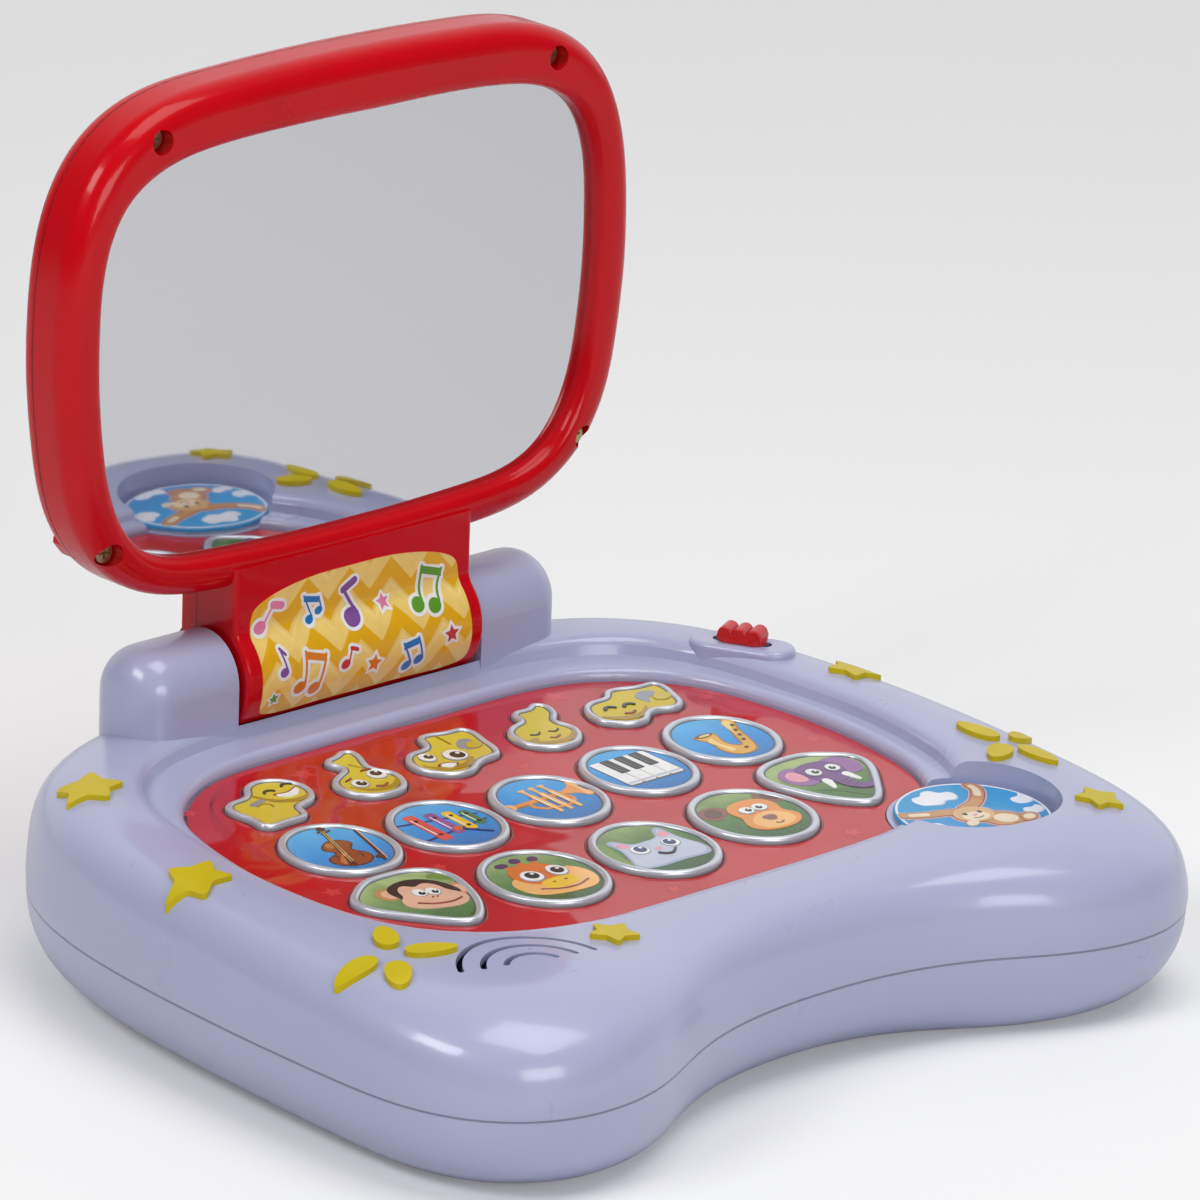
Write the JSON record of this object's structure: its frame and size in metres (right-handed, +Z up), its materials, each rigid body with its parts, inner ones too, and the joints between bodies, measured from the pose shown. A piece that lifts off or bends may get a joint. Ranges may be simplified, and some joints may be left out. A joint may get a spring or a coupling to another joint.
{
  "type": "toy laptop computer",
  "caption": "Toddler's toy laptop: kidney-shaped base with a sloping panel of picture keys, slide switch and loudspeaker, and a hinged lid holding a mirror.",
  "frame": {"origin": "on the table, on the flat underside of the base, straight under the middle of the key panel", "axes": "+Z up, +X to the user's right, -Y towards the user; lid open and upright at rest"},
  "size_m": [0.2435, 0.2138, 0.2064],
  "materials": {
    "lavender_shell": "gloss",
    "red_shell": "gloss",
    "red_panel": "gloss",
    "mirror_face": "polished",
    "label_film": "gloss",
    "yellow_trim": "satin",
    "green_key": "gloss",
    "blue_key": "gloss",
    "yellow_key": "gloss",
    "picture": "gloss",
    "red_knob": "satin",
    "black_plastic": "matte",
    "steel": "satin",
    "zinc_screw": "polished",
    "board_green": "satin",
    "cell_wrap": "gloss",
    "paper_cone": "matte",
    "membrane": "satin",
    "wire_cover": "satin",
    "lamp_lens": "clear",
    "washer_nylon": "satin"
  },
  "bodies": {
    "base": {"upper_casing": "lavender_shell", "lower_casing": "lavender_shell", "battery_door": "lavender_shell", "battery_door_screw": "zinc_screw", "battery_cells": "cell_wrap", "battery_contacts": "steel", "main_circuit_board": "board_green", "board_components": "black_plastic", "board_screws": "zinc_screw", "casing_screws": "zinc_screw", "speaker_frame": "steel", "speaker_magnet": "black_plastic", "speaker_cone": "paper_cone", "disc_lamp": "lamp_lens", "lamp_board": "board_green", "speaker_wires": "wire_cover", "battery_wires": "wire_cover", "key_panel_overlay": "red_panel", "key_membrane_sheet": "membrane", "picture_disc": "picture", "raised_stars": "yellow_trim", "raised_petals": "yellow_trim", "slide_switch_body": "black_plastic"},
    "lid": {"lid_front_frame": "red_shell", "lid_rear_cover": "red_shell", "mirror_sheet": "mirror_face", "lid_screws": "zinc_screw", "note_sticker": "label_film", "hinge_pin_right": "steel", "hinge_pin_left": "steel", "hinge_friction_washers": "washer_nylon"},
    "key_note_one": {"key_note_one": "yellow_key"},
    "key_note_two": {"key_note_two": "yellow_key"},
    "key_note_three": {"key_note_three": "yellow_key"},
    "key_note_four": {"key_note_four": "yellow_key"},
    "key_note_five": {"key_note_five": "yellow_key"},
    "key_violin": {"key_violin": "blue_key"},
    "key_xylophone": {"key_xylophone": "blue_key"},
    "key_trumpet": {"key_trumpet": "blue_key"},
    "key_piano": {"key_piano": "blue_key"},
    "key_saxophone": {"key_saxophone": "blue_key"},
    "key_monkey": {"key_monkey": "green_key"},
    "key_giraffe": {"key_giraffe": "green_key"},
    "key_cat": {"key_cat": "green_key"},
    "key_dog": {"key_dog": "green_key"},
    "key_elephant": {"key_elephant": "green_key"},
    "slide_switch_knob": {"slide_switch_knob": "red_knob"}
  },
  "joints": [
    {"name": "lid_hinge", "type": "hinge", "parent": "base", "child": "lid", "pos_m": [0, 0.079, 0.0577], "axis": [1, 0, 0], "range_deg": [0, 92.5]},
    {"name": "key_note_one_press", "type": "slide", "parent": "base", "child": "key_note_one", "axis": [0, 0.0349, -0.9994], "range_m": [0, 0.0008], "stiffness_N_per_m": 200, "springref_m": -0.0006},
    {"name": "key_note_two_press", "type": "slide", "parent": "base", "child": "key_note_two", "axis": [0, 0.0349, -0.9994], "range_m": [0, 0.0008], "stiffness_N_per_m": 200, "springref_m": -0.0006},
    {"name": "key_note_three_press", "type": "slide", "parent": "base", "child": "key_note_three", "axis": [0, 0.0349, -0.9994], "range_m": [0, 0.0008], "stiffness_N_per_m": 200, "springref_m": -0.0006},
    {"name": "key_note_four_press", "type": "slide", "parent": "base", "child": "key_note_four", "axis": [0, 0.0349, -0.9994], "range_m": [0, 0.0008], "stiffness_N_per_m": 200, "springref_m": -0.0006},
    {"name": "key_note_five_press", "type": "slide", "parent": "base", "child": "key_note_five", "axis": [0, 0.0349, -0.9994], "range_m": [0, 0.0008], "stiffness_N_per_m": 200, "springref_m": -0.0006},
    {"name": "key_violin_press", "type": "slide", "parent": "base", "child": "key_violin", "axis": [0, 0.0349, -0.9994], "range_m": [0, 0.0008], "stiffness_N_per_m": 200, "springref_m": -0.0006},
    {"name": "key_xylophone_press", "type": "slide", "parent": "base", "child": "key_xylophone", "axis": [0, 0.0349, -0.9994], "range_m": [0, 0.0008], "stiffness_N_per_m": 200, "springref_m": -0.0006},
    {"name": "key_trumpet_press", "type": "slide", "parent": "base", "child": "key_trumpet", "axis": [0, 0.0349, -0.9994], "range_m": [0, 0.0008], "stiffness_N_per_m": 200, "springref_m": -0.0006},
    {"name": "key_piano_press", "type": "slide", "parent": "base", "child": "key_piano", "axis": [0, 0.0349, -0.9994], "range_m": [0, 0.0008], "stiffness_N_per_m": 200, "springref_m": -0.0006},
    {"name": "key_saxophone_press", "type": "slide", "parent": "base", "child": "key_saxophone", "axis": [0, 0.0349, -0.9994], "range_m": [0, 0.0008], "stiffness_N_per_m": 200, "springref_m": -0.0006},
    {"name": "key_monkey_press", "type": "slide", "parent": "base", "child": "key_monkey", "axis": [0, 0.0349, -0.9994], "range_m": [0, 0.0008], "stiffness_N_per_m": 200, "springref_m": -0.0006},
    {"name": "key_giraffe_press", "type": "slide", "parent": "base", "child": "key_giraffe", "axis": [0, 0.0349, -0.9994], "range_m": [0, 0.0008], "stiffness_N_per_m": 200, "springref_m": -0.0006},
    {"name": "key_cat_press", "type": "slide", "parent": "base", "child": "key_cat", "axis": [0, 0.0349, -0.9994], "range_m": [0, 0.0008], "stiffness_N_per_m": 200, "springref_m": -0.0006},
    {"name": "key_dog_press", "type": "slide", "parent": "base", "child": "key_dog", "axis": [0, 0.0349, -0.9994], "range_m": [0, 0.0008], "stiffness_N_per_m": 200, "springref_m": -0.0006},
    {"name": "key_elephant_press", "type": "slide", "parent": "base", "child": "key_elephant", "axis": [0, 0.0349, -0.9994], "range_m": [0, 0.0008], "stiffness_N_per_m": 200, "springref_m": -0.0006},
    {"name": "switch_slide", "type": "slide", "parent": "base", "child": "slide_switch_knob", "axis": [0.454, -0.891, 0], "range_m": [-0.003, 0.003]}
  ]
}
